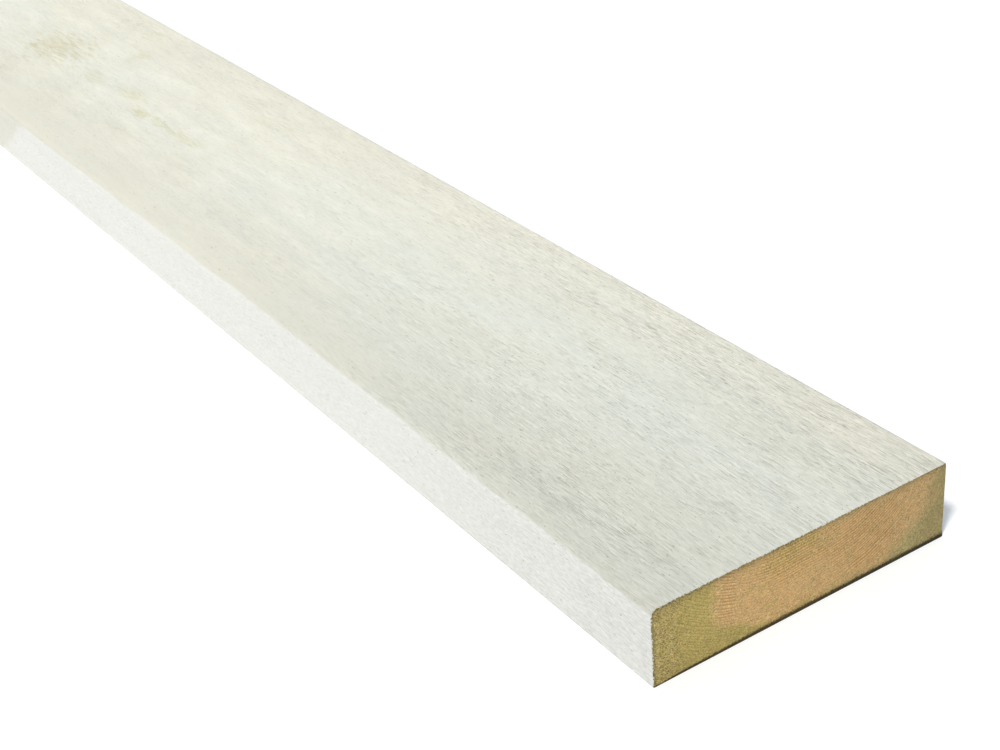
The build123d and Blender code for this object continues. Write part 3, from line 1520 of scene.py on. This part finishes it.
    def relief_tree(self) -> bpy.types.NodeTree:
        """Build the tree that presses the relief into the stock and gives each face its finish.

        Returns:
            The tree.
        """
        sizes = ("Strand Depth", "Strand Length", "Strand Breadth", "Arris Wear", "Rim Tear", "Flat Below")
        inputs = {"Geometry": SocketKind.GEOMETRY, **{size: SocketKind.NUMBER for size in sizes},
                  "Washed": SocketKind.MATERIAL, "Bare": SocketKind.MATERIAL}
        outputs = {"Geometry": SocketKind.GEOMETRY}
        sheet, given, wanted = open_group("sawn_relief", "GeometryNodeTree", inputs, outputs)
        place = sheet.add("GeometryNodeInputPosition").outputs[0]
        normal = sheet.add("GeometryNodeInputNormal").outputs[0]
        along = sheet.math("DIVIDE", 1.0, given["Strand Length"])
        across = sheet.math("DIVIDE", 1.0, given["Strand Breadth"])
        stretch = sheet.join(along, across, across)
        strands = sheet.noise(sheet.vector("MULTIPLY", place, stretch), self.strand_detail)
        grain = sheet.math("ADD", strands, self.waves.draw(sheet, place))
        wear = sheet.product(self.wear_drift.draw(sheet, place), self.share(sheet, "arris"))
        tear = sheet.product(self.tear_drift.draw(sheet, place), self.share(sheet, "rim"))
        sunk = sheet.total(sheet.math("MULTIPLY", grain, given["Strand Depth"]),
                           sheet.math("MULTIPLY", wear, given["Arris Wear"]),
                           sheet.math("MULTIPLY", tear, given["Rim Tear"]))
        inwards = sheet.ramp(sheet.split(place)[2], 0.0, given["Flat Below"], 0.0, -1.0)
        offset = sheet.scaled(normal, sheet.math("MULTIPLY", sunk, inwards))
        pressed = sheet.add("GeometryNodeSetPosition", {"Geometry": given["Geometry"], "Offset": offset})
        single = sheet.add("GeometryNodeRealizeInstances", {"Geometry": pressed.outputs[0]})
        facing = {"A": sheet.math("ABSOLUTE", sheet.split(normal)[0]), "B": self.cut_facing}
        is_cut = sheet.add("FunctionNodeCompare", facing, operation="GREATER_THAN")
        washed = {"Geometry": single.outputs[0], "Material": given["Washed"]}
        coated = sheet.add("GeometryNodeSetMaterial", washed)
        bare = {"Geometry": coated.outputs[0], "Selection": is_cut.outputs[0], "Material": given["Bare"]}
        sheet.feed(wanted["Geometry"], sheet.add("GeometryNodeSetMaterial", bare).outputs[0])
        return sheet.tree

    @staticmethod
    def share(sheet: NodeSheet, name: str) -> Socket:
        """Read one of the stored shares.

        Args:
            sheet: The node sheet.
            name: The share's name.

        Returns:
            Its value at each point.
        """
        stored = sheet.add("GeometryNodeInputNamedAttribute", {"Name": name}, data_type="FLOAT")
        return stored.outputs["Attribute"]

    def build(self, washed: bpy.types.Material, bare: bpy.types.Material) -> bpy.types.Object:
        """Build the plank with its relief and finishes.

        Args:
            washed: The finish of the long faces.
            bare: The finish of the cuts.

        Returns:
            The plank's object.
        """
        piece = bpy.data.objects.new("plank_timber", self.build_stock())
        bpy.context.scene.collection.objects.link(piece)
        settle(piece, self.relief_tree(), {
            "Strand Depth": self.strand_depth, "Strand Length": self.strand_length,
            "Strand Breadth": self.strand_breadth, "Arris Wear": self.arris_wear,
            "Rim Tear": self.rim_tear, "Flat Below": self.flat_below, "Washed": washed, "Bare": bare})
        return piece

    def rims(self, piece: bpy.types.Object) -> list[np.ndarray]:
        """Read the rims of the two cuts off the finished plank.

        Args:
            piece: The plank.

        Returns:
            The points of the left and the right rim.
        """
        count = 2 * (self.across_cells + self.through_cells)
        first = count * (len(self.stations()) - 1)
        places = np.zeros(3 * len(piece.data.vertices))
        piece.data.vertices.foreach_get("co", places)
        places = places.reshape(-1, 3)
        return [places[:count], places[first:first + count]]


def settle(piece: bpy.types.Object, tree: bpy.types.NodeTree, values: dict[str, object]) -> None:
    """Run a geometry tree on a piece and keep the result as its plain mesh.

    Args:
        piece: The piece.
        tree: The tree.
        values: The tree's inputs by name.
    """
    modifier = piece.modifiers.new(tree.name, "NODES")
    modifier.node_group = tree
    for item in tree.interface.items_tree:
        if item.in_out == "INPUT" and item.name in values:
            modifier[item.identifier] = values[item.name]
    graph = bpy.context.evaluated_depsgraph_get()
    shown = piece.evaluated_get(graph)
    made = bpy.data.meshes.new_from_object(shown, preserve_all_data_layers=True, depsgraph=graph)
    piece.modifiers.remove(modifier)
    plain = piece.data
    piece.data = made
    bpy.data.meshes.remove(plain)
    made.name = piece.name


@dataclass
class TornFibres:
    """The short splinters that the saw has left standing along the rims of the cuts."""

    # The numbers of a Random Value node's sockets
    VECTOR_LOW = 0
    VECTOR_HIGH = 1
    NUMBER_LOW = 2
    NUMBER_HIGH = 3
    VECTOR_DRAWN = 0
    NUMBER_DRAWN = 1
    CHOICE_DRAWN = 3

    low: Vector
    high: Vector
    spacing: float = 0.65 * MM
    longest: float = 0.75 * MM
    shortest_share: float = 0.35
    thickness: float = 0.2 * MM
    corners: int = 4
    lean: float = 0.55
    presence: float = 0.45
    foot: float = 3.0 * MM
    seed: int = 7

    def tree(self) -> bpy.types.NodeTree:
        """Build the tree that sets splinters along a rim.

        Returns:
            The tree.
        """
        sizes = ("Spacing", "Longest", "Thickness", "Lean", "Presence", "Foot")
        inputs = {"Geometry": SocketKind.GEOMETRY, **{size: SocketKind.NUMBER for size in sizes},
                  "Seed": SocketKind.COUNT, "Low": SocketKind.VECTOR, "High": SocketKind.VECTOR,
                  "Bare": SocketKind.MATERIAL}
        outputs = {"Geometry": SocketKind.GEOMETRY}
        sheet, given, wanted = open_group("torn_fibres", "GeometryNodeTree", inputs, outputs)
        line = {"Curve": sheet.add("GeometryNodeMeshToCurve", {"Mesh": given["Geometry"]}).outputs[0],
                "Length": given["Spacing"]}
        spots = sheet.add("GeometryNodeResampleCurve", line, mode="LENGTH")
        place = sheet.add("GeometryNodeInputPosition").outputs[0]
        along, _, height = sheet.split(place)
        straight = sheet.join(sheet.math("SIGN", along))
        anywhere = {self.VECTOR_LOW: (-1.0, -1.0, -1.0), self.VECTOR_HIGH: (1.0, 1.0, 1.0),
                    "Seed": given["Seed"]}
        stray = sheet.add("FunctionNodeRandomValue", anywhere, data_type="FLOAT_VECTOR")
        lean = sheet.scaled(stray.outputs[self.VECTOR_DRAWN], given["Lean"])
        towards = sheet.vector("ADD", straight, lean)
        pointing = sheet.add("FunctionNodeAlignRotationToVector", {"Vector": towards})
        shortest = sheet.math("MULTIPLY", given["Longest"], self.shortest_share)
        lengths = {self.NUMBER_LOW: shortest, self.NUMBER_HIGH: given["Longest"],
                   "Seed": sheet.math("ADD", given["Seed"], 1.0)}
        length = sheet.add("FunctionNodeRandomValue", lengths, data_type="FLOAT").outputs[self.NUMBER_DRAWN]
        above = sheet.math("GREATER_THAN", height, given["Foot"])
        chance = {"Probability": sheet.math("MULTIPLY", given["Presence"], above),
                  "Seed": sheet.math("ADD", given["Seed"], 2.0)}
        chosen = sheet.add("FunctionNodeRandomValue", chance, data_type="BOOLEAN")
        stand = sheet.add("GeometryNodeInstanceOnPoints", {
            "Points": spots.outputs[0], "Selection": chosen.outputs[self.CHOICE_DRAWN],
            "Instance": self.splinter(sheet), "Rotation": pointing.outputs[0],
            "Scale": sheet.join(given["Thickness"], given["Thickness"], length)})
        single = sheet.add("GeometryNodeRealizeInstances", {"Geometry": stand.outputs[0]})
        inside = sheet.vector("MINIMUM", sheet.vector("MAXIMUM", place, given["Low"]), given["High"])
        kept = sheet.add("GeometryNodeSetPosition", {"Geometry": single.outputs[0], "Position": inside})
        bare = {"Geometry": kept.outputs[0], "Material": given["Bare"]}
        sheet.feed(wanted["Geometry"], sheet.add("GeometryNodeSetMaterial", bare).outputs[0])
        return sheet.tree

    def splinter(self, sheet: NodeSheet) -> Socket:
        """Shape one splinter of unit size, with its middle at the rim.

        Args:
            sheet: The node sheet.

        Returns:
            Its geometry.
        """
        cone = sheet.add("GeometryNodeMeshCone", {
            "Vertices": self.corners, "Radius Top": 0.0, "Radius Bottom": 0.5, "Depth": 1.0})
        centred = {"Geometry": cone.outputs[0], "Translation": (0.0, 0.0, -0.5)}
        return sheet.add("GeometryNodeTransform", centred).outputs[0]

    def build(self, rims: list[np.ndarray], bare: bpy.types.Material) -> bpy.types.Object:
        """Build the splinters.

        Args:
            rims: The points of the cuts' rims.
            bare: The finish of bare wood.

        Returns:
            The splinters' object.
        """
        mesh = bpy.data.meshes.new("torn_fibres")
        edges = []
        start = 0
        for rim in rims:
            edges += [(start + number, start + (number + 1) % len(rim)) for number in range(len(rim))]
            start += len(rim)
        mesh.from_pydata(np.concatenate(rims).tolist(), edges, [])
        piece = bpy.data.objects.new("torn_fibres", mesh)
        bpy.context.scene.collection.objects.link(piece)
        settle(piece, self.tree(), {
            "Spacing": self.spacing, "Longest": self.longest, "Thickness": self.thickness,
            "Lean": self.lean, "Presence": self.presence, "Foot": self.foot, "Seed": self.seed,
            "Low": self.low, "High": self.high, "Bare": bare})
        return piece


@dataclass
class Studio:
    """White floor, soft light from the front right, and a camera that looks down on the right cut."""

    cut: float
    front: float

    # The camera
    beyond_cut: float = 0.39744
    before_front: float = 0.294335
    camera_height: float = 0.424183
    azimuth: float = 58.85
    elevation: float = 30.025
    roll: float = -5.13
    lens: float = 62.0

    # The light, whose strength is what it gives a white surface that faces it
    sky: float = 0.42
    sky_colour: Colour = (0.95, 0.975, 1.0)
    key: float = 0.73
    key_colour: Colour = (1.0, 0.985, 0.955)
    key_azimuth: float = 30.0
    key_elevation: float = 58.0
    key_spread: float = 8.0

    # The floor
    floor_reach: float = 40.0
    floor_tone: float = 0.93
    floor_glow: float = 0.145
    glow_colour: Colour = (0.66, 0.82, 1.0)

    def build(self) -> None:
        """Set up the floor, the light and the camera."""
        bpy.context.scene.view_settings.view_transform = "Standard"
        self.lay_floor()
        self.light_sky()
        self.hang_key()
        self.stand_camera()

    @staticmethod
    def seen_directly(sheet: NodeSheet) -> Socket:
        """Tell the rays that show the background from those that carry light.

        Args:
            sheet: The node sheet.

        Returns:
            1 for a camera, glossy or transmission ray, else 0.
        """
        rays = sheet.add("ShaderNodeLightPath").outputs
        shiny = sheet.math("MAXIMUM", rays["Is Glossy Ray"], rays["Is Transmission Ray"])
        return sheet.math("MAXIMUM", rays["Is Camera Ray"], shiny)

    @staticmethod
    def direction(azimuth: float, elevation: float) -> Vector:
        """Point from the plank towards a place in front of it.

        Args:
            azimuth: How far the place is turned to the right, in degrees.
            elevation: How high it stands, in degrees.

        Returns:
            The direction, one unit long.
        """
        turn, rise = math.radians(azimuth), math.radians(elevation)
        return Vector((math.sin(turn) * math.cos(rise), -math.cos(turn) * math.cos(rise), math.sin(rise)))

    def lay_floor(self) -> None:
        """Lay a wide floor that looks white and still takes the plank's shadow."""
        material = bpy.data.materials.new("studio_floor")
        material.use_nodes = True
        nodes = material.node_tree.nodes
        nodes.remove(nodes["Principled BSDF"])
        sheet = NodeSheet(material.node_tree)
        tone = (self.floor_tone, self.floor_tone, self.floor_tone)
        matt = sheet.add("ShaderNodeBsdfDiffuse", {"Color": as_rgba(tone)})
        glow = sheet.add("ShaderNodeEmission", {
            "Color": as_rgba(self.glow_colour),
            "Strength": sheet.math("MULTIPLY", self.seen_directly(sheet), self.floor_glow)})
        both = sheet.add("ShaderNodeAddShader", {0: matt.outputs[0], 1: glow.outputs[0]})
        sheet.feed(nodes["Material Output"].inputs["Surface"], both.outputs[0])
        reach = self.floor_reach
        corners = [(-reach, -reach, 0.0), (reach, -reach, 0.0), (reach, reach, 0.0), (-reach, reach, 0.0)]
        mesh = bpy.data.meshes.new("studio_floor")
        mesh.from_pydata(corners, [], [(0, 1, 2, 3)])
        mesh.materials.append(material)
        floor = bpy.data.objects.new("studio_floor", mesh)
        bpy.context.scene.collection.objects.link(floor)

    def light_sky(self) -> None:
        """Light the plank evenly from all round, before a white backdrop."""
        world = bpy.data.worlds.new("studio_sky")
        world.use_nodes = True
        sheet = NodeSheet(world.node_tree)
        seen = self.seen_directly(sheet)
        backdrop = world.node_tree.nodes["Background"]
        sheet.feed(backdrop.inputs["Color"], sheet.mix(seen, self.sky_colour, WHITE))
        sheet.feed(backdrop.inputs["Strength"], sheet.between(seen, self.sky, 1.0))
        bpy.context.scene.world = world

    def hang_key(self) -> None:
        """Hang the key light far off, so that it reaches the whole floor evenly."""
        lamp = bpy.data.lights.new("key_light", "SUN")
        lamp.energy = self.key * math.pi
        lamp.color = self.key_colour
        lamp.angle = math.radians(self.key_spread)
        holder = bpy.data.objects.new("key_light", lamp)
        towards = self.direction(self.key_azimuth, self.key_elevation)
        holder.rotation_euler = towards.to_track_quat("Z", "Y").to_euler()
        holder.location = towards
        bpy.context.scene.collection.objects.link(holder)

    def stand_camera(self) -> None:
        """Stand the camera beyond the right cut, in front of the plank and a little tilted."""
        camera = bpy.data.cameras.new("camera")
        camera.lens = self.lens
        holder = bpy.data.objects.new("camera", camera)
        forward = -self.direction(self.azimuth, self.elevation)
        tilt = Matrix.Rotation(math.radians(self.roll), 3, "Z")
        aim = forward.to_track_quat("-Z", "Y").to_matrix() @ tilt
        holder.rotation_euler = aim.to_euler()
        holder.location = (self.cut + self.beyond_cut, self.front - self.before_front, self.camera_height)
        bpy.context.scene.collection.objects.link(holder)
        bpy.context.scene.camera = holder


def main() -> None:
    """Build the plank, its splinters and the studio in order."""
    logging.basicConfig(level=logging.INFO, format="%(name)s: %(message)s")
    low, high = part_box("plank")
    length, width, thickness = high - low
    patterns = TimberPatterns()
    sizes = {"half_length": high.x / MM, "half_width": high.y / MM, "thickness": thickness / MM}
    washed = WashedFinish(name="washed_wood", **sizes).make(patterns)
    bare = BareFinish(name="bare_end_grain", **sizes).make(patterns)

    plank = SawnPlank(length, width, thickness)
    timber = plank.build(washed, bare)
    splinters = TornFibres(low, high).build(plank.rims(timber), bare)
    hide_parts("plank")
    for piece in (timber, splinters):
        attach(piece, "root")
        log.info("%s: %d faces", piece.name, len(piece.data.polygons))

    Studio(cut=high.x, front=low.y).build()


if __name__ == "__main__":
    main()
